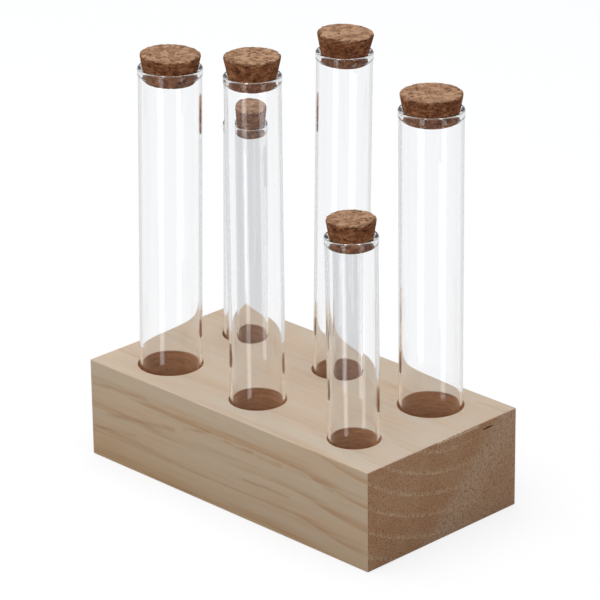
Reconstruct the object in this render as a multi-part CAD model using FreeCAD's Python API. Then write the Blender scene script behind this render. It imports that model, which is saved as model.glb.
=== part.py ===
"""Test tube vase: a pine block with six drilled holes, a loose glass tube standing
in each hole, and a tapered cork stopper in the mouth of each tube.

Frame: origin at the centre of the block's underside, +X along the block, +Y from
its front face to its back face, +Z up. Lengths are in millimetres.
"""
import FreeCAD, Part
import math
import os

Vector = FreeCAD.Vector

# The pine block
block_length = 150.0
block_width = 80.0
block_height = 40.0
arris_ease = 0.4

# The blind holes were marked out by hand, so each has its own place along and across
left_hole_front_x = -50.0
left_hole_front_y = -20.5
middle_hole_front_x = -1.2
middle_hole_front_y = -21.0
right_hole_front_x = 49.9
right_hole_front_y = -21.2
left_hole_back_x = -49.6
left_hole_back_y = 20.7
middle_hole_back_x = 1.3
middle_hole_back_y = 20.8
right_hole_back_x = 49.3
right_hole_back_y = 20.5
hole_depth = 30.0
hole_mouth_ease = 0.3

# Outer diameters of the three kinds of tube
wide_tube_diameter = 24.2
tall_tube_diameter = 21.2
short_tube_diameter = 19.5

# How the tubes stand in their holes: the room all round each kind, and off the floor
wide_tube_clearance = 0.6
tall_tube_clearance = 0.45
short_tube_clearance = 0.35
floor_gap = 0.05

# The glass, and its fire-polished rim, which swells a little outwards and more inwards
glass_wall = 1.0
rim_swell_out = 0.25
rim_swell_in = 0.5
rim_height = 2.4
rim_blend = 0.8
rim_round = 0.6

# The length of each tube over all
wide_tube_front_length = 150.5
wide_tube_back_length = 147.5
tall_tube_front_length = 159.0
tall_tube_back_length = 158.5
short_tube_front_length = 110.0
short_tube_back_length = 118.0

# Each cork is pushed in by hand, so the heights left above the rims differ
wide_cork_front_stand = 5.4
wide_cork_back_stand = 6.3
tall_cork_front_stand = 7.4
tall_cork_back_stand = 7.4
short_cork_front_stand = 6.8
short_cork_back_stand = 7.0

# The height of each kind of cork, and how much its radius grows along it
wide_cork_height = 11.0
tall_cork_height = 12.0
short_cork_height = 11.2
wide_cork_taper_share = 0.18
tall_cork_taper_share = 0.21
short_cork_taper_share = 0.155
cork_clearance = 0.05
cork_edge_ease = 0.35

# The loose tubes lean the same way in plan, each by its own share of what its hole allows
lean_heading_degrees = 45.0
wide_tube_front_lean_share = 0.31
wide_tube_back_lean_share = 0.0
tall_tube_front_lean_share = 0.0
tall_tube_back_lean_share = 0.39
short_tube_front_lean_share = -0.2
short_tube_back_lean_share = 0.5

# One overrun serves every cut
cut_overrun = 1.0

full_turn_degrees = 360.0

# name: kind, hole along, hole across, tube length, height of the cork above the rim, lean
tube_places = {
    "wide_front": ("wide", left_hole_front_x, left_hole_front_y, wide_tube_front_length,
                   wide_cork_front_stand, wide_tube_front_lean_share),
    "tall_front": ("tall", middle_hole_front_x, middle_hole_front_y, tall_tube_front_length,
                   tall_cork_front_stand, tall_tube_front_lean_share),
    "short_front": ("short", right_hole_front_x, right_hole_front_y, short_tube_front_length,
                    short_cork_front_stand, short_tube_front_lean_share),
    "short_back": ("short", left_hole_back_x, left_hole_back_y, short_tube_back_length,
                   short_cork_back_stand, short_tube_back_lean_share),
    "tall_back": ("tall", middle_hole_back_x, middle_hole_back_y, tall_tube_back_length,
                  tall_cork_back_stand, tall_tube_back_lean_share),
    "wide_back": ("wide", right_hole_back_x, right_hole_back_y, wide_tube_back_length,
                  wide_cork_back_stand, wide_tube_back_lean_share),
}
tube_radii = {
    "wide": wide_tube_diameter / 2,
    "tall": tall_tube_diameter / 2,
    "short": short_tube_diameter / 2,
}
tube_clearances = {
    "wide": wide_tube_clearance,
    "tall": tall_tube_clearance,
    "short": short_tube_clearance,
}
cork_heights = {
    "wide": wide_cork_height,
    "tall": tall_cork_height,
    "short": short_cork_height,
}
cork_taper_shares = {
    "wide": wide_cork_taper_share,
    "tall": tall_cork_taper_share,
    "short": short_cork_taper_share,
}


def hole_centre(along, across):
    """The axis of a hole, as a point on the block's top face."""
    return Vector(along, across, block_height)


def hole_radius(kind):
    """A hole is drilled to pass its own tube."""
    return tube_radii[kind] + tube_clearances[kind]


def rim_bore_radius(kind):
    """The narrowest radius of a tube's mouth, inside its rim."""
    return tube_radii[kind] - glass_wall - rim_swell_in


def turned(outline):
    """A solid of revolution about the Z axis from edges in the XZ plane."""
    face = Part.Face(Part.Wire(outline))
    return face.revolve(Vector(0, 0, 0), Vector(0, 0, 1), full_turn_degrees)


def at(radius, height):
    """A point of a turned piece's outline."""
    return Vector(radius, 0, height)


def line(start, end):
    return Part.LineSegment(start, end).toShape()


def quarter_arc(centre, start, end):
    """An arc from start to end about centre, by way of the point half way round."""
    half_way = (start - centre) + (end - centre)
    half_way.normalize()
    middle = centre + half_way * (start - centre).Length
    return Part.Arc(start, middle, end).toShape()


def wood_block():
    """The block, sawn from one piece of pine, with its arrises eased and six blind holes."""
    corner = Vector(-block_length / 2, -block_width / 2, 0)
    block = Part.makeBox(block_length, block_width, block_height, corner)
    block = block.makeChamfer(arris_ease, block.Edges)
    for kind, along, across, _, _, _ in tube_places.values():
        block = block.cut(hole_cutter(kind, along, across))
    return block


def hole_cutter(kind, along, across):
    """A flat-bottomed blind hole whose mouth is eased by a small chamfer."""
    radius = hole_radius(kind)
    top = hole_centre(along, across)
    floor = top - Vector(0, 0, hole_depth)
    shaft = Part.makeCylinder(radius, hole_depth + cut_overrun, floor)
    ease_start = top - Vector(0, 0, hole_mouth_ease)
    ease_height = hole_mouth_ease + cut_overrun
    ease = Part.makeCone(radius, radius + ease_height, ease_height, ease_start)
    return shaft.fuse(ease)


def glass_tube(kind, length):
    """A test tube standing on the origin: round bottom, even wall and thickened rim."""
    outer = tube_radii[kind]
    inner = outer - glass_wall
    rim_outer = outer + rim_swell_out
    rim_inner = rim_bore_radius(kind)
    rim_foot = length - rim_height
    neck = rim_foot - rim_blend
    shoulder = length - rim_round
    ball_centre = at(0, outer)
    outline = [
        quarter_arc(ball_centre, at(0, 0), at(outer, outer)),
        line(at(outer, outer), at(outer, neck)),
        line(at(outer, neck), at(rim_outer, rim_foot)),
        line(at(rim_outer, rim_foot), at(rim_outer, shoulder)),
        quarter_arc(at(rim_outer - rim_round, shoulder),
                    at(rim_outer, shoulder), at(rim_outer - rim_round, length)),
        line(at(rim_outer - rim_round, length), at(rim_inner + rim_round, length)),
        quarter_arc(at(rim_inner + rim_round, shoulder),
                    at(rim_inner + rim_round, length), at(rim_inner, shoulder)),
        line(at(rim_inner, shoulder), at(rim_inner, rim_foot)),
        line(at(rim_inner, rim_foot), at(inner, neck)),
        line(at(inner, neck), at(inner, outer)),
        quarter_arc(ball_centre, at(inner, outer), at(0, glass_wall)),
        line(at(0, glass_wall), at(0, 0)),
    ]
    return turned(outline)


def cork_stopper(kind, length, stand):
    """A tapered cork that meets the rim of a tube that stands on the origin."""
    seat_height = length - rim_round
    seat_radius = rim_bore_radius(kind) - cork_clearance
    top = length + stand
    bottom = top - cork_heights[kind]
    taper = cork_taper_shares[kind]
    top_radius = seat_radius + taper * (top - seat_height)
    bottom_radius = seat_radius - taper * (seat_height - bottom)
    corners = [
        at(0, bottom),
        at(bottom_radius - cork_edge_ease, bottom),
        at(bottom_radius, bottom + cork_edge_ease),
        at(top_radius, top - cork_edge_ease),
        at(top_radius - cork_edge_ease, top),
        at(0, top),
    ]
    closed = corners + corners[:1]
    return turned([line(start, end) for start, end in zip(closed, closed[1:])])


def lean_angle(kind, lean_share):
    """How far a tube tips over, in degrees, as a share of what the loose hole lets it."""
    guided = hole_depth - tube_radii[kind]
    return math.degrees(math.atan(2 * lean_share * tube_clearances[kind] / guided))


def stood_in_hole(piece, kind, along, across, lean_share):
    """Puts a piece of a standing tube in its hole, tipped about the centre of the round bottom.

    The bottom lies off the hole's axis on one side, and the tube crosses the hole's mouth as far
    off it on the other side.
    """
    heading = math.radians(lean_heading_degrees)
    towards = Vector(math.cos(heading), math.sin(heading), 0)
    tilt_axis = Vector(-towards.y, towards.x, 0)
    ball_centre = Vector(0, 0, tube_radii[kind])
    placed = piece.copy()
    placed.rotate(ball_centre, tilt_axis, lean_angle(kind, lean_share))
    floor = hole_centre(along, across) - Vector(0, 0, hole_depth - floor_gap)
    placed.translate(floor - towards * (lean_share * tube_clearances[kind]))
    return placed


def all_pieces():
    """Every piece of the vase in its place, by name."""
    pieces = {"wood_block": wood_block()}
    for place, (kind, along, across, length, stand, lean_share) in tube_places.items():
        size, side = place.split("_")
        tube = glass_tube(kind, length)
        cork = cork_stopper(kind, length, stand)
        where = (kind, along, across, lean_share)
        pieces[f"{size}_tube_{side}"] = stood_in_hole(tube, *where)
        pieces[f"{size}_cork_{side}"] = stood_in_hole(cork, *where)
    return pieces


os.makedirs("parts", exist_ok=True)
for name, shape in all_pieces().items():
    shape.exportStep(f"parts/{name}.step")
    print(f"{name}: valid {shape.isValid()}, volume {shape.Volume:.1f} mm3")
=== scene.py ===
"""Test tube vase: a pine block with six drilled holes, a loose glass test tube standing in
each hole, and a cork stopper pushed into the mouth of each tube.

Lengths are in metres, and in millimetres where a pattern or a name says so. +X runs along the
block, +Y from its front face to its back, +Z up.
"""
import math

import bpy
from mathutils import Color, Matrix, Quaternion, Vector, noise


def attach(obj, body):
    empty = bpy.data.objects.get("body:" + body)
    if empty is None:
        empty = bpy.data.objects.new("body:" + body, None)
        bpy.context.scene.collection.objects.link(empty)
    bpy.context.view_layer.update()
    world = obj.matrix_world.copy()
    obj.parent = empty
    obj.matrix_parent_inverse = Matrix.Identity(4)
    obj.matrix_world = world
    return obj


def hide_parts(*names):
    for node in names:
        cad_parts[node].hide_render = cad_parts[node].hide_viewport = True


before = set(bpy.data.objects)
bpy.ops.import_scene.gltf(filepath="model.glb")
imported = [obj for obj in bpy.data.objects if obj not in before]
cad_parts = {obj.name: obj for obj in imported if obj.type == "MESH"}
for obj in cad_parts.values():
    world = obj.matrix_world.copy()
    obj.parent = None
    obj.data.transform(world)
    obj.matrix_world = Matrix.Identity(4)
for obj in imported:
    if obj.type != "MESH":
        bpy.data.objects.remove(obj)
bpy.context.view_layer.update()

# The camera
# A long lens looks down past the block's near corner, a little above the tubes' mouths.
camera_azimuth = math.radians(45.40)
camera_elevation = math.radians(22.47)
camera_roll = math.radians(-0.684)
camera_distance = 1.3616
camera_target = Vector((0.0004, 0.0004, 0.0743))
camera_lens_mm = 216.3
camera_sensor_mm = 36
camera_nearest = 0.05
camera_farthest = 20


def place_camera():
    """The camera stands off from its target, upright but for a slight roll."""
    level = math.cos(camera_elevation)
    back = Vector((math.sin(camera_azimuth) * level, -math.cos(camera_azimuth) * level,
                   math.sin(camera_elevation)))
    data = bpy.data.cameras.new("camera")
    data.lens = camera_lens_mm
    data.sensor_width = camera_sensor_mm
    data.clip_start = camera_nearest
    data.clip_end = camera_farthest
    camera = bpy.data.objects.new("camera", data)
    bpy.context.collection.objects.link(camera)
    camera.location = camera_target + back * camera_distance
    camera.rotation_mode = "QUATERNION"
    camera.rotation_quaternion = (back.to_track_quat("Z", "Y")
                                  @ Quaternion((0, 0, 1), camera_roll))
    bpy.context.scene.camera = camera


place_camera()


# The floor and the white surround
# A pale sheet lies under the vase. Seen straight on or through the glass it and the room are
# white, and through two tubes a greyer white. The vase still lays its shadow on the sheet.
floor_half_side = 3.0
floor_drop = 0.0001
floor_shade = (0.53, 0.46, 0.35, 1)
floor_lit_share = 0.25
white = (1, 1, 1, 1)
plain_whiteness = 1.0
whiteness_behind_two = 0.68
room_for_glass = 0.44
room_for_matt = 0.34
# The steps of a light path are counted in whole numbers. A straight look goes through four
# faces of glass in each tube.
between_none_and_once = 0.5
between_one_tube_and_two = 6.5


class Flow:
    """One value in a material, with which sums are written as with numbers."""

    def __init__(self, tree, socket=None):
        self.tree = tree
        self.socket = socket

    def node(self, kind, settings=None, sockets=None, output=0):
        """Adds one step: first its settings, then the values or links that go into it."""
        added = self.tree.nodes.new(kind)
        for name, value in (settings or {}).items():
            setattr(added, name, value)
        for name, value in (sockets or {}).items():
            if isinstance(value, Flow):
                self.tree.links.new(value.socket, added.inputs[name])
            else:
                added.inputs[name].default_value = value
        return Flow(self.tree, added.outputs[output] if added.outputs else None)

    def math(self, operation, *values):
        return self.node("ShaderNodeMath", {"operation": operation}, dict(enumerate(values)))

    def __add__(self, other):
        return self.math("ADD", self, other)

    def __sub__(self, other):
        return self.math("SUBTRACT", self, other)

    def __rsub__(self, other):
        return self.math("SUBTRACT", other, self)

    def __mul__(self, other):
        return self.math("MULTIPLY", self, other)

    def __truediv__(self, other):
        return self.math("DIVIDE", self, other)

    def __pow__(self, other):
        return self.math("POWER", self, other)

    __radd__ = __add__
    __rmul__ = __mul__


def new_material(name):
    """An empty material, and the flow from which its steps are made."""
    material = bpy.data.materials.new(name)
    material.use_nodes = True
    material.node_tree.nodes.clear()
    return material, Flow(material.node_tree)


def glowing(flow, strength):
    return flow.node("ShaderNodeEmission", {}, {"Color": white, "Strength": strength})


def see_through(flow, tint):
    return flow.node("ShaderNodeBsdfTransparent", {}, {"Color": tint})


def layered(flow, share, first, second):
    """Two surfaces mixed, from the first at share 0 to the second at share 1."""
    return flow.node("ShaderNodeMixShader", {}, {0: share, 1: first, 2: second})


def light_path(flow, output):
    return flow.node("ShaderNodeLightPath", output=output)


def more_than(value, limit):
    return value.math("GREATER_THAN", value, limit)


def less_than(value, limit):
    return value.math("LESS_THAN", value, limit)


def seen_directly(flow):
    """1 where the camera sees a thing itself, or sees it straight through glass."""
    straight = light_path(flow, "Is Camera Ray")
    through_glass = light_path(flow, "Is Transmission Ray")
    thrown_back = light_path(flow, "Diffuse Depth") + light_path(flow, "Glossy Depth")
    never_thrown_back = less_than(thrown_back, between_none_and_once)
    return straight.math("MAXIMUM", straight, through_glass * never_thrown_back)


def mirrored(flow):
    """1 where a thing is seen by way of a mirroring surface, within or off the glass."""
    glossy = light_path(flow, "Glossy Depth")
    diffuse = light_path(flow, "Diffuse Depth")
    return (more_than(glossy, between_none_and_once)
            * less_than(diffuse, between_none_and_once))


def behind_two_tubes(flow):
    """1 where a thing is seen through two tubes, which together let less light through."""
    return more_than(light_path(flow, "Transmission Depth"), between_one_tube_and_two)


def pale_floor():
    """The sheet under the vase, which doesn't show where the glass mirrors the room."""
    bpy.ops.object.select_all(action="DESELECT")
    bpy.ops.mesh.primitive_plane_add(size=2 * floor_half_side, location=(0, 0, -floor_drop))
    floor = bpy.context.object
    floor.name = "floor"
    floor.data.name = "floor"
    bpy.ops.object.transform_apply(location=True, rotation=True, scale=True)
    material, flow = new_material("pale_floor")
    matt = flow.node("ShaderNodeBsdfDiffuse", {}, {"Color": floor_shade})
    paper = flow.node("ShaderNodeBsdfDiffuse", {}, {"Color": white})
    ground = layered(flow, behind_two_tubes(flow), glowing(flow, plain_whiteness),
                     glowing(flow, whiteness_behind_two))
    shaded = layered(flow, floor_lit_share, ground, paper)
    seen = layered(flow, seen_directly(flow), matt, shaded)
    surface = layered(flow, mirrored(flow), seen, see_through(flow, white))
    flow.node("ShaderNodeOutputMaterial", {}, {"Surface": surface})
    floor.data.materials.append(material)


def white_room():
    """The room: white behind the vase, and a dimmer even light on it."""
    world = bpy.data.worlds.new("white_room")
    world.use_nodes = True
    world.node_tree.nodes.clear()
    bpy.context.scene.world = world
    flow = Flow(world.node_tree)
    direct = seen_directly(flow)
    greyed = behind_two_tubes(flow) * (plain_whiteness - whiteness_behind_two)
    dim = mirrored(flow) * (room_for_glass - room_for_matt) + room_for_matt
    strength = direct * (plain_whiteness - greyed) + (1 - direct) * dim
    sky = flow.node("ShaderNodeBackground", {}, {"Color": white, "Strength": strength})
    flow.node("ShaderNodeOutputWorld", {}, {"Surface": sky})


bpy.context.scene.view_settings.view_transform = "Standard"
pale_floor()
white_room()


# The studio lamps
# A broad soft lamp hangs overhead and a weaker one fills from the front. Two tall light strips
# are there for the glass alone, which shows each as an upright streak, and a white sheet stands
# behind, which keeps the glass's edges pale.
overhead_place = Vector((-0.10, -0.20, 1.50))
overhead_side = 2.0
overhead_power = 26.0
overhead_colour = (0.97, 1.0, 1.07)
front_place = Vector((-0.50, -1.60, 0.50))
front_side = 1.2
front_power = 2.0
front_colour = (1.05, 1.0, 0.91)
lamp_target = Vector((0, 0, 0.06))
strip_distance = 1.6
strip_low = -2.4
strip_high = 1.2
strip_turn = math.radians(17)
sheet_turn = math.radians(150)
# name: heading round the vase, how much of a turn it fills, and how brightly it glows
strips = {
    "near_strip": (math.radians(11), strip_turn, 3.6),
    "side_strip": (math.radians(90), strip_turn, 2.9),
    "back_sheet": (camera_azimuth + math.pi, sheet_turn, 0.80),
}


def studio_lamp(name, place, side, power, colour):
    """A square soft lamp that faces the vase."""
    data = bpy.data.lights.new(name, "AREA")
    data.shape = "SQUARE"
    data.size = side
    data.energy = power
    data.color = colour
    lamp = bpy.data.objects.new(name, data)
    bpy.context.collection.objects.link(lamp)
    lamp.location = place
    lamp.rotation_mode = "QUATERNION"
    lamp.rotation_quaternion = (lamp_target - place).to_track_quat("-Z", "Y")
    lamp.visible_camera = False
    lamp.visible_transmission = False


def light_strip(name, heading, turn, strength):
    """An upright glowing strip that only the glass's mirrorings show."""
    toward = Vector((math.sin(heading), -math.cos(heading), 0))
    bpy.ops.object.select_all(action="DESELECT")
    bpy.ops.mesh.primitive_plane_add(size=1)
    strip = bpy.context.object
    strip.name = name
    strip.data.name = name
    width = 2 * strip_distance * math.tan(turn / 2)
    middle = toward * strip_distance + Vector((0, 0, (strip_low + strip_high) / 2))
    strip.matrix_world = (Matrix.Translation(middle)
                          @ (-toward).to_track_quat("Z", "Y").to_matrix().to_4x4()
                          @ Matrix.Diagonal((width, strip_high - strip_low, 1, 1)))
    bpy.ops.object.transform_apply(location=True, rotation=True, scale=True)
    strip.visible_shadow = False
    material, flow = new_material(name)
    surface = layered(flow, mirrored(flow), see_through(flow, white), glowing(flow, strength))
    flow.node("ShaderNodeOutputMaterial", {}, {"Surface": surface})
    strip.data.materials.append(material)


studio_lamp("overhead_lamp", overhead_place, overhead_side, overhead_power, overhead_colour)
studio_lamp("front_lamp", front_place, front_side, front_power, front_colour)
for name, (heading, turn, strength) in strips.items():
    light_strip(name, heading, turn, strength)


# The pine block
# One piece of pine, flat-sawn and sanded, with its arrises taken off. Six flat-bottomed holes
# are drilled into it from above, and a small drying crack has opened in one end.
millimetre = 0.001
block_length = 0.150
block_width = 0.080
block_height = 0.040
arris = 0.0004
arris_steps = 3
hole_depth = 0.030
hole_sides = 96
hole_mouth_ease = 0.0003
hole_mouth_steps = 2
cutter_overrun = 0.002
crack_place = Vector((block_length / 2, 0.0242, 0.03705))
crack_half_sizes = (0.0030, 0.0028, 0.0004)
crack_sides = 24
crack_rings = 12
sharpest_smooth_edge = math.radians(35)
touching = 1e-5
# kind: tube radius and the room round it in its hole
tube_kinds = {
    "wide": (0.0121, 0.0006),
    "tall": (0.0106, 0.00045),
    "short": (0.00975, 0.00035),
}
# name: kind, and where its hole was marked out by hand
hole_places = {
    "wide_front": ("wide", Vector((-0.0500, -0.0205, 0))),
    "tall_front": ("tall", Vector((-0.0012, -0.0210, 0))),
    "short_front": ("short", Vector((0.0499, -0.0212, 0))),
    "short_back": ("short", Vector((-0.0496, 0.0207, 0))),
    "tall_back": ("tall", Vector((0.0013, 0.0208, 0))),
    "wide_back": ("wide", Vector((0.0493, 0.0205, 0))),
}
# Where a colour mix takes its share and its two colours, and where it gives its result
mix_share = 0
mix_first = 6
mix_second = 7
mix_result = 2
screen_white = 255
noise_middle = 0.5


def colour(red, green, blue):
    """A colour given as the eight-bit values it shows as on a screen."""
    shown = Color((red / screen_white, green / screen_white, blue / screen_white))
    return (*shown.from_srgb_to_scene_linear(), 1)


def blended(share, first, second):
    """Two colours mixed, from the first at share 0 to the second at share 1."""
    return share.node("ShaderNodeMix", {"data_type": "RGBA", "clamp_factor": True},
                      {mix_share: share, mix_first: first, mix_second: second},
                      output=mix_result)


def rise(value, low, high):
    """0 below low and 1 above high, with a smooth way between them."""
    return value.node("ShaderNodeMapRange", {"interpolation_type": "SMOOTHSTEP"},
                      {"Value": value, "From Min": low, "From Max": high})


def part(vector, axis):
    """One coordinate of a place."""
    return vector.node("ShaderNodeSeparateXYZ", {}, {0: vector}, output=axis)


def size_of(value):
    """A value without its sign."""
    return value.math("ABSOLUTE", value)


def cloud(place, sizes, shift=(0, 0, 0), detail=2.0):
    """Soft noise round its middle, in lumps of the given sizes in millimetres."""
    stretched = place.node("ShaderNodeMapping", {},
                           {"Vector": place, "Location": shift,
                            "Scale": tuple(1 / size for size in sizes)})
    return place.node("ShaderNodeTexNoise", {},
                      {"Vector": stretched, "Scale": 1.0, "Detail": detail})


def place_in_mm(flow):
    """Where a point lies on the piece, in millimetres."""
    place = flow.node("ShaderNodeTexCoord", output="Object")
    return flow.node("ShaderNodeVectorMath", {"operation": "SCALE"},
                     {0: place, "Scale": 1 / millimetre})


def apply_modifier(piece, kind, settings):
    """Works a change into the piece's own shape."""
    bpy.context.view_layer.objects.active = piece
    modifier = piece.modifiers.new(kind.lower(), kind)
    for name, value in settings.items():
        setattr(modifier, name, value)
    bpy.ops.object.modifier_apply(modifier=modifier.name)


def cut_away(piece, cutter):
    """Takes the cutter's shape out of the piece, and the cutter out of the scene."""
    apply_modifier(piece, "BOOLEAN",
                   {"operation": "DIFFERENCE", "solver": "EXACT", "object": cutter})
    bpy.data.objects.remove(cutter)


def select_edges(piece, wanted):
    """Selects the edges whose two ends both pass a test on their places."""
    bpy.ops.object.mode_set(mode="EDIT")
    bpy.ops.mesh.select_mode(type="EDGE")
    bpy.ops.mesh.select_all(action="DESELECT")
    bpy.ops.object.mode_set(mode="OBJECT")
    for edge in piece.data.edges:
        edge.select = all(wanted(piece.data.vertices[i].co) for i in edge.vertices)
    bpy.ops.object.mode_set(mode="EDIT")


def on_a_mouth(point):
    """Whether a point of the block lies on the rim of one of its holes."""
    if abs(point.z - block_height) > touching:
        return False
    for kind, centre in hole_places.values():
        off_axis = math.hypot(point.x - centre.x, point.y - centre.y)
        if abs(off_axis - sum(tube_kinds[kind])) < touching:
            return True
    return False


def carve_block():
    """The block with its arrises eased, six drilled holes with eased mouths, and the crack."""
    bpy.ops.object.select_all(action="DESELECT")
    bpy.ops.mesh.primitive_cube_add(size=1, location=(0, 0, block_height / 2),
                                    scale=(block_length, block_width, block_height))
    block = bpy.context.object
    block.name = "pine_block"
    block.data.name = "pine_block"
    bpy.ops.object.transform_apply(location=True, rotation=True, scale=True)
    bpy.ops.object.mode_set(mode="EDIT")
    bpy.ops.mesh.select_mode(type="EDGE")
    bpy.ops.mesh.select_all(action="SELECT")
    bpy.ops.mesh.bevel(offset=arris, segments=arris_steps, affect="EDGES")
    bpy.ops.object.mode_set(mode="OBJECT")
    drill_middle = block_height + (cutter_overrun - hole_depth) / 2
    for kind, centre in hole_places.values():
        tube_radius, room = tube_kinds[kind]
        bpy.ops.mesh.primitive_cylinder_add(
            vertices=hole_sides, radius=tube_radius + room, depth=hole_depth + cutter_overrun,
            location=centre + Vector((0, 0, drill_middle)))
        cut_away(block, bpy.context.object)
    bpy.ops.mesh.primitive_uv_sphere_add(
        segments=crack_sides, ring_count=crack_rings, radius=1, location=crack_place,
        scale=crack_half_sizes)
    cut_away(block, bpy.context.object)
    bpy.context.view_layer.objects.active = block
    block.select_set(True)
    select_edges(block, on_a_mouth)
    bpy.ops.mesh.bevel(offset=hole_mouth_ease, segments=hole_mouth_steps, affect="EDGES")
    bpy.ops.object.mode_set(mode="OBJECT")
    bpy.ops.object.shade_smooth_by_angle(angle=sharpest_smooth_edge)
    return block


def growth(place):
    """How far through its year the wood is at a point, from 0 to 1: the rings curve round a
    pith above the block, wander a little, and swing away towards the sawn end."""
    pith_y = 10.0
    pith_z = 99.0
    ring_gap = 8.2
    ring_start = 85.5
    wander_mm = 3.5
    swing_mm = 4.0
    off_pith_y = part(place, "Y") - pith_y
    off_pith_z = part(place, "Z") - pith_z
    reach = (off_pith_y * off_pith_y + off_pith_z * off_pith_z) ** 0.5
    wander = (cloud(place, sizes=(90, 40, 40)) - noise_middle) * wander_mm
    swing = rise(part(place, "X"), low=35, high=75) * swing_mm
    ring = (reach - swing + wander - ring_start) / ring_gap
    return ring.math("FRACT", ring)


def fleck_mark(place, start, end, half_width):
    """1 along a ragged line between two places in millimetres, fading to 0 off it."""
    ragged_mm = 3.5
    fade_from = -0.8
    fade_to = 1.2
    along = Vector(end) - Vector(start)

    def vector(operation, sockets, output=0):
        return place.node("ShaderNodeVectorMath", {"operation": operation}, sockets,
                          output=output)

    off_start = vector("SUBTRACT", {0: place, 1: Vector(start)})
    share = vector("DOT_PRODUCT", {0: off_start, 1: along / along.length_squared}, output=1)
    share = share.math("MINIMUM", share.math("MAXIMUM", share, 0), 1)
    nearest = vector("SCALE", {0: along, "Scale": share})
    distance = vector("DISTANCE", {0: off_start, 1: nearest}, output=1)
    tatter = cloud(place, sizes=(9, 0.7, 0.7), shift=(1, 4, 6), detail=3.0) - noise_middle
    return 1 - rise(distance + tatter * ragged_mm, fade_from * half_width, fade_to * half_width)


def long_grain(place, age, facing_up, fibres):
    """The faces sawn along the grain: pale and rosy wood, with darker late wood in each ring,
    streaks, fibres and flecks. They show less on the top, and the foot of the sides is painted
    browner and darker as painted shade near the floor."""
    plain = colour(202, 186, 165)
    rosy = colour(203, 181, 156)
    late = colour(182, 148, 115)
    # painted shade: the darker, browner colour at the foot of the sides, near the floor
    foot = colour(196, 163, 124)
    fleck = colour(164, 118, 84)
    fainter_on_top = 0.6
    foot_shade_slope = 0.08
    foot_shade_share = 0.6
    late_share = 0.8
    streak_contrast = 1.2
    fibre_contrast = 0.3
    fibre_share = 0.08
    fleck_share = 0.5
    # start and end of each darker fleck on the front and top faces, and its half width
    marks = [
        ((-73, -40, 30.5), (-43, -40, 33), 1.3),
        ((-66, -40, 19.5), (-28, -40, 24.7), 1.5),
        ((-73, -40, 12.5), (-50, -40, 15.0), 1.0),
        ((-22, -40, 27.3), (-8, -40, 30.0), 1.1),
        ((0, -40, 28.6), (15, -40, 28.8), 0.9),
        ((18, -40, 28.0), (30, -40, 28.3), 1.0),
        ((46, -40, 28.8), (57, -40, 27.0), 1.0),
        ((10, -40, 16.4), (34, -40, 17.2), 0.9),
        ((-28, -5.0, 40), (-17.5, -6.3, 40), 0.8),
        ((25, 22.2, 40), (41, 22.8, 40), 0.6),
        ((-60, 16.5, 40), (-54, 16.0, 40), 0.6),
        ((44, 0.3, 40), (58, 2.6, 40), 0.5),
    ]
    tone = rise(cloud(place, sizes=(60, 9, 9), shift=(9, 2, 5)), low=0.35, high=0.65)
    streaks = cloud(place, sizes=(34, 1.7, 1.7), detail=3.0)
    late_wood = rise(age, low=0.45, high=0.95) * (1 - rise(age, low=0.97, high=1.0))
    late_streaks = late_wood * rise(streaks, low=0.25, high=0.7)
    shown = 1 - facing_up * fainter_on_top
    # painted shade near the floor, reaching higher up towards -X
    height = part(place, "Z") + part(place, "X") * foot_shade_slope
    painted_foot_shade = (1 - rise(height, low=-3, high=12)) * (1 - facing_up)

    wood = blended(tone, plain, rosy)
    wood = blended(painted_foot_shade * foot_shade_share, wood, foot)
    wood = blended(late_streaks * late_share * shown, wood, late)
    wood = blended((streaks - noise_middle) * streak_contrast * shown, wood, late)
    wood = blended((fibres - noise_middle) * fibre_contrast + fibre_share, wood, late)
    for start, end, half_width in marks:
        wood = blended(fleck_mark(place, start, end, half_width) * fleck_share, wood, fleck)
    return wood


def end_grain(place, age, speckle, grit):
    """The sawn ends: brown and reddish patches, a greyer band aslant that is a painted sheen,
    paler rings towards the front, and pale and dark specks all over."""
    plain = colour(180, 142, 111)
    red = colour(171, 125, 94)
    # the colour of the painted sheen in the greyer band aslant
    painted_sheen_grey = colour(190, 164, 144)
    pale = colour(206, 180, 153)
    dark = colour(112, 76, 52)
    # where the painted sheen, a greyer band aslant, crosses the end, and how it fades
    band_y = 12.9
    band_z = 17.5
    band_across_y = 0.68
    band_across_z = 0.74
    band_fading = 0.5
    ring_fading = 0.8
    red_share = 0.7
    sheen_share = 0.85
    ring_share = 0.65
    pale_contrast = 2.6
    pale_share = 0.05
    dark_contrast = 2.4
    dark_grit_contrast = 1.3
    y = part(place, "Y")
    z = part(place, "Z")
    patches = rise(cloud(place, sizes=(30, 8, 5), shift=(6, 3, 2)), low=0.4, high=0.62)
    aslant = (y - band_y) * band_across_y - (z - band_z) * band_across_z
    band = rise(aslant, low=-8, high=0) * (1 - rise(aslant, low=3, high=15) * band_fading)
    rings = rise(age, low=0.72, high=0.93) * (1 - rise(age, low=0.96, high=1.0))
    towards_front = 1 - rise(y, low=0, high=24) * ring_fading
    pale_specks = (speckle - noise_middle) * pale_contrast + pale_share
    dark_specks = ((noise_middle - speckle) * dark_contrast
                   + (noise_middle - grit) * dark_grit_contrast)

    wood = blended(patches * red_share, plain, red)
    # painted sheen: the greyer band aslant
    wood = blended(band * rise(grit, low=0.2, high=0.6) * sheen_share, wood, painted_sheen_grey)
    wood = blended(rings * towards_front * rise(grit, low=0.3, high=0.6) * ring_share,
                   wood, pale)
    wood = blended(pale_specks, wood, pale)
    return blended(dark_specks, wood, dark)


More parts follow.
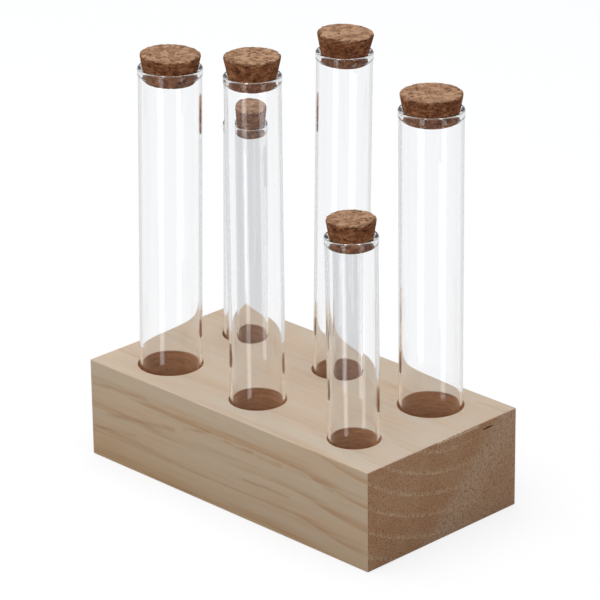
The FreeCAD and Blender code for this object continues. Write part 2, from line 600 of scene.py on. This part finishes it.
def shaded_drilled_wall(place, grit):
    """The walls of the holes: warmer, darker wood, partly drilled wood and partly painted shade in
    the holes, darker still in flat bands of rub marks left by the drill.
    """
    # the hole walls' colours, darker than the faces partly as painted shade in the holes
    warm_and_shaded = colour(197, 136, 90)
    rubbed_and_shaded = colour(150, 93, 57)
    band_contrast = 1.6
    grit_contrast = 0.6
    # an even share of painted shade over the hole walls, with the drill's flat bands on top
    painted_shade_share = 0.4
    bands = cloud(place, sizes=(7, 7, 0.7), shift=(1, 8, 3)) - noise_middle
    rubbing_and_shade = bands * band_contrast + (grit - noise_middle) * grit_contrast + painted_shade_share
    return blended(rubbing_and_shade, warm_and_shaded, rubbed_and_shaded)


def pine():
    """Sanded pine: long grain on the sides and top, end grain on the ends, walls in the holes
    darker partly as painted shade, the crack darkened as painted shade, and a painted highlight
    along the top edge of the near end."""
    # painted highlight: a pale line along the top edge of the near end
    painted_edge_highlight = colour(244, 226, 202)
    highlight_start = (75, -3.0, 39.6)
    highlight_end = (75, 19.0, 39.0)
    highlight_half_width = 0.7
    highlight_share = 0.8
    # painted shade: the inside of the crack is darkened
    painted_crack_shade = colour(112, 76, 52)
    crack_shade_share = 0.65
    crack_reach = Vector((4, 3, 0.6))
    crack_skin = 0.03
    hole_inset = 1
    mouth_depth = 0.35
    sanded_roughness = 0.62
    fibre_roughness = 0.2
    end_roughness = 0.2
    fibre_relief = 0.6
    end_relief = 1.6
    relief_strength = 0.35
    relief_depth = 0.00012
    shine = 0.3
    half_length = block_length / 2 / millimetre
    half_width = block_width / 2 / millimetre
    top = block_height / millimetre
    crack_y = crack_place.y / millimetre
    crack_z = crack_place.z / millimetre

    material, flow = new_material("pine")
    place = place_in_mm(flow)
    x = part(place, "X")
    y = part(place, "Y")
    z = part(place, "Z")
    normal = flow.node("ShaderNodeTexCoord", output="Normal")
    facing_end = rise(size_of(part(normal, "X")), low=0.6, high=0.85)
    facing_up = rise(part(normal, "Z"), low=0.6, high=0.85)
    in_hole = (less_than(size_of(x), half_length - hole_inset)
               * less_than(size_of(y), half_width - hole_inset)
               * more_than(z, hole_inset) * less_than(z, top - mouth_depth))
    in_crack = (less_than(size_of(y - crack_y), crack_reach.y)
                * less_than(size_of(z - crack_z), crack_reach.z)
                * more_than(x, half_length - crack_reach.x)
                * less_than(x, half_length - crack_skin))
    # where the painted highlight lies along the top edge of the near end
    on_highlight = fleck_mark(place, highlight_start, highlight_end, highlight_half_width)

    age = growth(place)
    fibres = cloud(place, sizes=(12, 0.22, 0.22), shift=(3, 7, 1))
    speckle = cloud(place, sizes=(3.0, 0.5, 0.5), shift=(2, 2, 2), detail=1.0)
    grit = cloud(place, sizes=(3.0, 1.3, 1.3), shift=(5, 1, 3), detail=1.0)
    wood = blended(facing_end, long_grain(place, age, facing_up, fibres),
                   end_grain(place, age, speckle, grit))
    # painted shade in the holes: their walls take a darker, browner colour
    wood = blended(in_hole, wood, shaded_drilled_wall(place, grit))
    # painted highlight along the top edge of the near end
    wood = blended(on_highlight * highlight_share, wood, painted_edge_highlight)
    # painted shade in the crack
    wood = blended(in_crack * crack_shade_share, wood, painted_crack_shade)

    rough = (sanded_roughness + (fibres - noise_middle) * fibre_roughness
             + facing_end * end_roughness)
    relief = (fibres * (1 - facing_end) * fibre_relief + speckle * facing_end * end_relief
              + in_hole * speckle)
    bump = flow.node("ShaderNodeBump", {},
                     {"Strength": relief_strength, "Distance": relief_depth, "Height": relief})
    surface = flow.node("ShaderNodeBsdfPrincipled", {},
                        {"Base Color": wood, "Roughness": rough, "Normal": bump,
                         "Specular IOR Level": shine})
    flow.node("ShaderNodeOutputMaterial", {}, {"Surface": surface})
    return material


pine_block = carve_block()
pine_block.data.materials.clear()
pine_block.data.materials.append(pine())
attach(pine_block, "block")
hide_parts("wood_block")


# The test tubes
# Clear thin-walled glass, drawn with a round bottom, the mouth polished in the flame to a small
# bead. Each stands loose in its hole, so some lean.
glass_wall = 0.0010
bead_swell_out = 0.00025
bead_swell_in = 0.0005
bead_height = 0.0024
bead_blend = 0.0008
bead_round = 0.0006
floor_gap = 0.00005
tube_sides = 128
bottom_steps = 22
blend_steps = 4
bead_steps = 5
# The round bottom starts this many degrees below its widest ring, just short of its pole
bottom_turn = 88
lean_heading = math.radians(45)
# name: length, how far the cork stands out, share of the play in the hole that it leans by
tube_stands = {
    "wide_front": (0.1505, 0.0054, 0.31),
    "tall_front": (0.1590, 0.0074, 0.0),
    "short_front": (0.1100, 0.0068, -0.2),
    "short_back": (0.1180, 0.0070, 0.5),
    "tall_back": (0.1585, 0.0074, 0.39),
    "wide_back": (0.1475, 0.0063, 0.0),
}


def arc(centre_radius, centre_height, radius, start, end, steps):
    """Points of a circle in the outline plane, its angles in degrees up from the outward side."""
    points = []
    for step in range(steps + 1):
        angle = math.radians(start + (end - start) * step / steps)
        points.append((centre_radius + radius * math.cos(angle),
                       centre_height + radius * math.sin(angle)))
    return points


def eased(start, end, steps):
    """Points of a gentle S from one outline point to another."""
    points = []
    for step in range(steps + 1):
        share = step / steps
        radius = start[0] + (end[0] - start[0]) * (1 - math.cos(math.pi * share)) / 2
        points.append((radius, start[1] + (end[1] - start[1]) * share))
    return points


def turned(name, outline, sides):
    """A closed round piece about the Z axis, ring by ring along an outline of radius and
    height, both of whose ends run in to the axis."""
    bpy.ops.object.select_all(action="DESELECT")
    first_radius, first_height = outline[0]
    bpy.ops.mesh.primitive_circle_add(vertices=sides, radius=first_radius,
                                      fill_type="TRIFAN", location=(0, 0, first_height))
    piece = bpy.context.object
    piece.name = name
    piece.data.name = name
    bpy.ops.object.transform_apply(location=True, rotation=True, scale=True)
    select_edges(piece, lambda point: math.hypot(point.x, point.y) > first_radius / 2)
    for (radius, height), (next_radius, next_height) in zip(outline, outline[1:]):
        bpy.ops.mesh.extrude_region_move(
            TRANSFORM_OT_translate={"value": (0, 0, next_height - height)})
        growing = next_radius / radius
        bpy.ops.transform.resize(value=(growing, growing, 1),
                                 center_override=(0, 0, next_height))
    bpy.ops.mesh.extrude_region_move()
    bpy.ops.mesh.merge(type="CENTER")
    bpy.ops.mesh.select_all(action="SELECT")
    bpy.ops.mesh.normals_make_consistent(inside=False)
    bpy.ops.object.mode_set(mode="OBJECT")
    bpy.ops.object.shade_smooth()
    return piece


def glass_tube(name, radius, length):
    """A tube that stands on the origin, outlined from its outer pole round to its inner one."""
    bore = radius - glass_wall
    bead_out = radius + bead_swell_out
    bead_in = bore - bead_swell_in
    neck = length - bead_height - bead_blend
    foot = length - bead_height
    shoulder = length - bead_round
    guard = bead_round / 2
    outline = arc(0, radius, radius, -bottom_turn, 0, bottom_steps)
    outline += [(radius, radius + guard), (radius, neck - guard)]
    outline += eased((radius, neck), (bead_out, foot), blend_steps)
    outline += arc(bead_out - bead_round, shoulder, bead_round, 0, 90, bead_steps)
    outline += arc(bead_in + bead_round, shoulder, bead_round, 90, 180, bead_steps)
    outline += eased((bead_in, foot), (bore, neck), blend_steps)
    outline += [(bore, neck - guard), (bore, radius + guard)]
    outline += arc(0, radius, bore, 0, -bottom_turn, bottom_steps)
    return turned(name, outline, tube_sides)


def stand_in_hole(piece, name):
    """Stands a piece of a tube in its hole, leaning about the centre of the round bottom."""
    kind, centre = hole_places[name]
    radius, room = tube_kinds[kind]
    _, _, lean_share = tube_stands[name]
    lean = math.atan(2 * lean_share * room / (hole_depth - radius))
    heading = Vector((math.cos(lean_heading), math.sin(lean_heading), 0))
    across = Vector((-heading.y, heading.x, 0))
    ball = Vector((0, 0, radius))
    foot = centre + Vector((0, 0, block_height - hole_depth + floor_gap))
    piece.matrix_world = (Matrix.Translation(foot + ball - heading * (lean_share * room))
                          @ Matrix.Rotation(lean, 4, across) @ Matrix.Translation(-ball))
    bpy.ops.object.select_all(action="DESELECT")
    piece.select_set(True)
    bpy.context.view_layer.objects.active = piece
    bpy.ops.object.transform_apply(location=True, rotation=True, scale=True)


def clear_glass():
    """Clear glass, which the light of the lamps and of the room passes straight through."""
    tint = (0.984, 0.988, 0.991, 1)
    tint_on_light = (0.993, 0.993, 0.993, 1)
    bending = 1.37
    material, flow = new_material("clear_glass")
    glass = flow.node("ShaderNodeBsdfPrincipled", {},
                      {"Base Color": tint, "Roughness": 0.0, "IOR": bending,
                       "Transmission Weight": 1.0})
    soft_light = light_path(flow, "Is Shadow Ray") + light_path(flow, "Is Diffuse Ray")
    surface = layered(flow, soft_light, glass, see_through(flow, tint_on_light))
    flow.node("ShaderNodeOutputMaterial", {}, {"Surface": surface})
    return material


glass = clear_glass()
for name, (length, _, _) in tube_stands.items():
    size, side = name.split("_")
    radius, _ = tube_kinds[size]
    tube = glass_tube(f"glass_{size}_{side}", radius, length)
    stand_in_hole(tube, name)
    tube.data.materials.append(glass)
    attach(tube, f"{size}_tube_{side}")
    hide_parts(f"{size}_tube_{side}")


# The cork stoppers
# Ground from pressed cork granules, tapered, and pushed into the mouths by hand. Their edges
# are chipped and frayed where granules have come out, and pits, painted dark as shade, show
# between the rest.
cork_clearance = 0.00005
cork_ease = 0.00035
cork_sides = 48
cork_side_steps = 8
cork_face_rings = (0.12, 0.35, 0.58, 0.8)
cork_fineness = 3
cork_tilt = {"tall_back": math.radians(2.0), "wide_front": math.radians(1.2)}
# kind: height, and how much its radius grows along it
cork_kinds = {
    "wide": (0.0110, 0.18),
    "tall": (0.0120, 0.21),
    "short": (0.0112, 0.155),
}
# Each cork is cut from another place in the pressed cork, this far on from the last
cork_steps_mm = (17.3, 5.1, 9.7)
# Granules and the crumbs they break into, bent by a soft warp. The warp's seed is fixed, because
# it would otherwise change from run to run.
granule_mm = 2.4
crumb_mm = 1.15
warp_mm = 0.8
warp_lump_mm = 1.1
warp_seed = 7
# The seams between the granules are open only in places
seam_width = 0.13
seam_depth_mm = 0.16
seam_opening = 0.35
seam_opening_swing = 1.8
seam_opening_lump_mm = 1.4
# Missing crumbs leave pits, more of them near the top edge
pit_share = 0.12
pit_times_at_edge = 4
pit_slope = 0.3
pit_depth_mm = 0.5
chipped_edge_mm = 0.9
fray_lump_mm = 0.8
fray_depth_mm = 0.9
rough_lump_mm = 0.6
rough_depth_mm = 0.08
# What spreads the draws for granules and crumbs, how much each draw sets the tone, and how
# dark a seam is beside a pit
pit_spread = 31.7
granule_spread = 53.1
crumb_spread = 12.9
granule_tone = 0.35
crumb_tone = 0.15
middle_tone = 0.5
seam_darkness = 0.5


def cork_blank(name, kind, length, stand):
    """A plain tapered cork in the mouth of a tube that stands on the origin."""
    radius, _ = tube_kinds[kind]
    height, taper = cork_kinds[kind]
    seat = length - bead_round
    seat_radius = radius - glass_wall - bead_swell_in - cork_clearance
    top = length + stand
    bottom = top - height
    top_radius = seat_radius + taper * (top - seat)
    bottom_radius = seat_radius - taper * (seat - bottom)
    outline = [(bottom_radius * share, bottom) for share in cork_face_rings]
    outline.append((bottom_radius - cork_ease, bottom))
    for step in range(cork_side_steps + 1):
        share = step / cork_side_steps
        outline.append((bottom_radius + (top_radius - bottom_radius) * share,
                        bottom + (cork_ease + share * (height - 2 * cork_ease))))
    outline.append((top_radius - cork_ease, top))
    outline += [(top_radius * share, top) for share in reversed(cork_face_rings)]
    return turned(name, outline, cork_sides)


def draw(centre, spread):
    """A number from 0 to 1 that is the same for every point of one granule or crumb."""
    return noise.cell(centre * spread) * 0.5 + 0.5


def weather_cork(cork, seed):
    """Presses in the seams between the granules and the pits of those that are missing, frays
    the top edge, and notes how dark each point is painted, seams darker and pits in painted
    shade, and which granule it is on."""
    offset = Vector([step * seed for step in cork_steps_mm])
    pits = cork.data.attributes.new("pit", "FLOAT", "POINT")
    grains = cork.data.attributes.new("grain", "FLOAT", "POINT")
    top = max(vertex.co.z for vertex in cork.data.vertices)
    widest = max(math.hypot(vertex.co.x, vertex.co.y) for vertex in cork.data.vertices)
    moves = []
    for vertex in cork.data.vertices:
        place = vertex.co / millimetre + offset
        warped = place + noise.noise_vector(place / warp_lump_mm) * warp_mm
        distances, granules = noise.voronoi(warped / granule_mm)
        opening = noise.noise(place / seam_opening_lump_mm) * seam_opening_swing
        opening = min(max(seam_opening + opening, 0), 1)
        seam = (1 - min((distances[1] - distances[0]) / seam_width, 1)) * opening

        inward = widest - math.hypot(vertex.co.x, vertex.co.y)
        off_edge_mm = math.hypot(top - vertex.co.z, inward) / millimetre
        likely = pit_share * (pit_times_at_edge if off_edge_mm < chipped_edge_mm else 1)
        distances, crumbs = noise.voronoi(warped / crumb_mm)
        hollow = 0
        if draw(crumbs[0], pit_spread) < likely:
            hollow = min((distances[1] - distances[0]) / pit_slope, 1)
        fray = max(1 - off_edge_mm / chipped_edge_mm, 0)
        fray *= abs(noise.noise(place / fray_lump_mm))
        rough = abs(noise.noise(place / rough_lump_mm))
        depth_mm = (seam * seam_depth_mm + hollow * pit_depth_mm + fray * fray_depth_mm
                    + rough * rough_depth_mm)
        moves.append(vertex.co - vertex.normal * depth_mm * millimetre)
        # how dark the point is painted: darker in the seams between granules, painted shade in the
        # pits
        pits.data[vertex.index].value = min(seam * seam_darkness + hollow, 1)
        tone = noise.cell(granules[0] * granule_spread) * granule_tone
        tone += noise.cell(crumbs[0] * crumb_spread) * crumb_tone
        grains.data[vertex.index].value = tone + middle_tone
    for vertex, moved in zip(cork.data.vertices, moves):
        vertex.co = moved


def tilt_cork(cork, length, tilt):
    """Tips a cork in its mouth, its left side up as seen past the block's near corner."""
    seat = Vector((0, 0, length - bead_round))
    toward_viewer = Vector((math.sin(camera_azimuth), -math.cos(camera_azimuth), 0))
    cork.data.transform(Matrix.Translation(seat) @ Matrix.Rotation(-tilt, 4, toward_viewer)
                        @ Matrix.Translation(-seat))


def pressed_cork():
    """Cork: granules from pale to dark brown on top; on the ground sides darker bands, over a
    darker, redder copy of the colours that is painted shade; and nearly black brown in the pits
    as painted shade, less dark in the seams between granules."""
    pale = colour(194, 156, 122)
    middle = colour(158, 121, 91)
    dark = colour(122, 84, 58)
    # nearly black brown: painted shade in the pits, and the dark of the seams
    pit_shade_and_seam_brown = colour(66, 38, 24)
    # the sides' colours: a darker, redder copy of the cork's colours, painted shade on the sides
    shaded_side_pale = colour(190, 135, 97)
    shaded_side_dark = colour(119, 72, 46)
    top_mottling = 1.6
    middle_share = 0.5
    side_grain_share = 0.45
    band_contrast = 2.0
    side_mottling = 0.8
    speck_share = 0.5
    pit_share_on_side = 0.45
    pit_share_more_on_top = 0.4
    relief_strength = 0.6
    relief_depth = 0.0002
    roughness = 0.85
    roughness_swing = 0.2
    shine = 0.2

    material, flow = new_material("cork")
    place = place_in_mm(flow)
    pit = flow.node("ShaderNodeAttribute", {"attribute_name": "pit"}, output="Fac")
    grain = flow.node("ShaderNodeAttribute", {"attribute_name": "grain"}, output="Fac")
    up = part(flow.node("ShaderNodeTexCoord", output="Normal"), "Z")
    on_top = rise(up, low=0.35, high=0.8)
    mottle = cloud(place, sizes=(0.9, 0.9, 0.9), detail=4.0)
    mottling = mottle - noise_middle
    bands = cloud(place, sizes=(2.6, 2.6, 0.8), shift=(4, 6, 2), detail=3.0) - noise_middle
    specks = rise(cloud(place, sizes=(0.45, 0.45, 0.45), shift=(3, 1, 2)), low=0.60, high=0.7)

    top = blended(rise(grain, low=0.2, high=0.8), dark, pale)
    top = blended(mottling * top_mottling + middle_share, top, middle)
    side_paleness = (rise(grain, low=0.1, high=0.9) * side_grain_share
                     + bands * band_contrast + mottling * side_mottling)
    # painted shade: the sides take the darker copy of the colours
    body = blended(on_top, blended(side_paleness, shaded_side_dark, shaded_side_pale), top)
    body = blended(specks * speck_share, body, shaded_side_dark)
    # painted shade in the pits, and dark seams between granules
    body = blended(pit * (pit_share_on_side + on_top * pit_share_more_on_top), body, pit_shade_and_seam_brown)
    bump = flow.node("ShaderNodeBump", {},
                     {"Strength": relief_strength, "Distance": relief_depth, "Height": mottle})
    surface = flow.node("ShaderNodeBsdfPrincipled", {},
                        {"Base Color": body, "Roughness": roughness + mottling * roughness_swing,
                         "Normal": bump, "Specular IOR Level": shine})
    flow.node("ShaderNodeOutputMaterial", {}, {"Surface": surface})
    return material


cork_material = pressed_cork()
noise.seed_set(warp_seed)
for seed, (name, (length, stand, _)) in enumerate(tube_stands.items(), start=1):
    size, side = name.split("_")
    cork = cork_blank(f"cork_{size}_{side}", size, length, stand)
    apply_modifier(cork, "SUBSURF", {"levels": cork_fineness, "render_levels": cork_fineness})
    weather_cork(cork, seed)
    tilt_cork(cork, length, cork_tilt.get(name, 0))
    stand_in_hole(cork, name)
    cork.data.materials.append(cork_material)
    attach(cork, f"{size}_cork_{side}")
    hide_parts(f"{size}_cork_{side}")
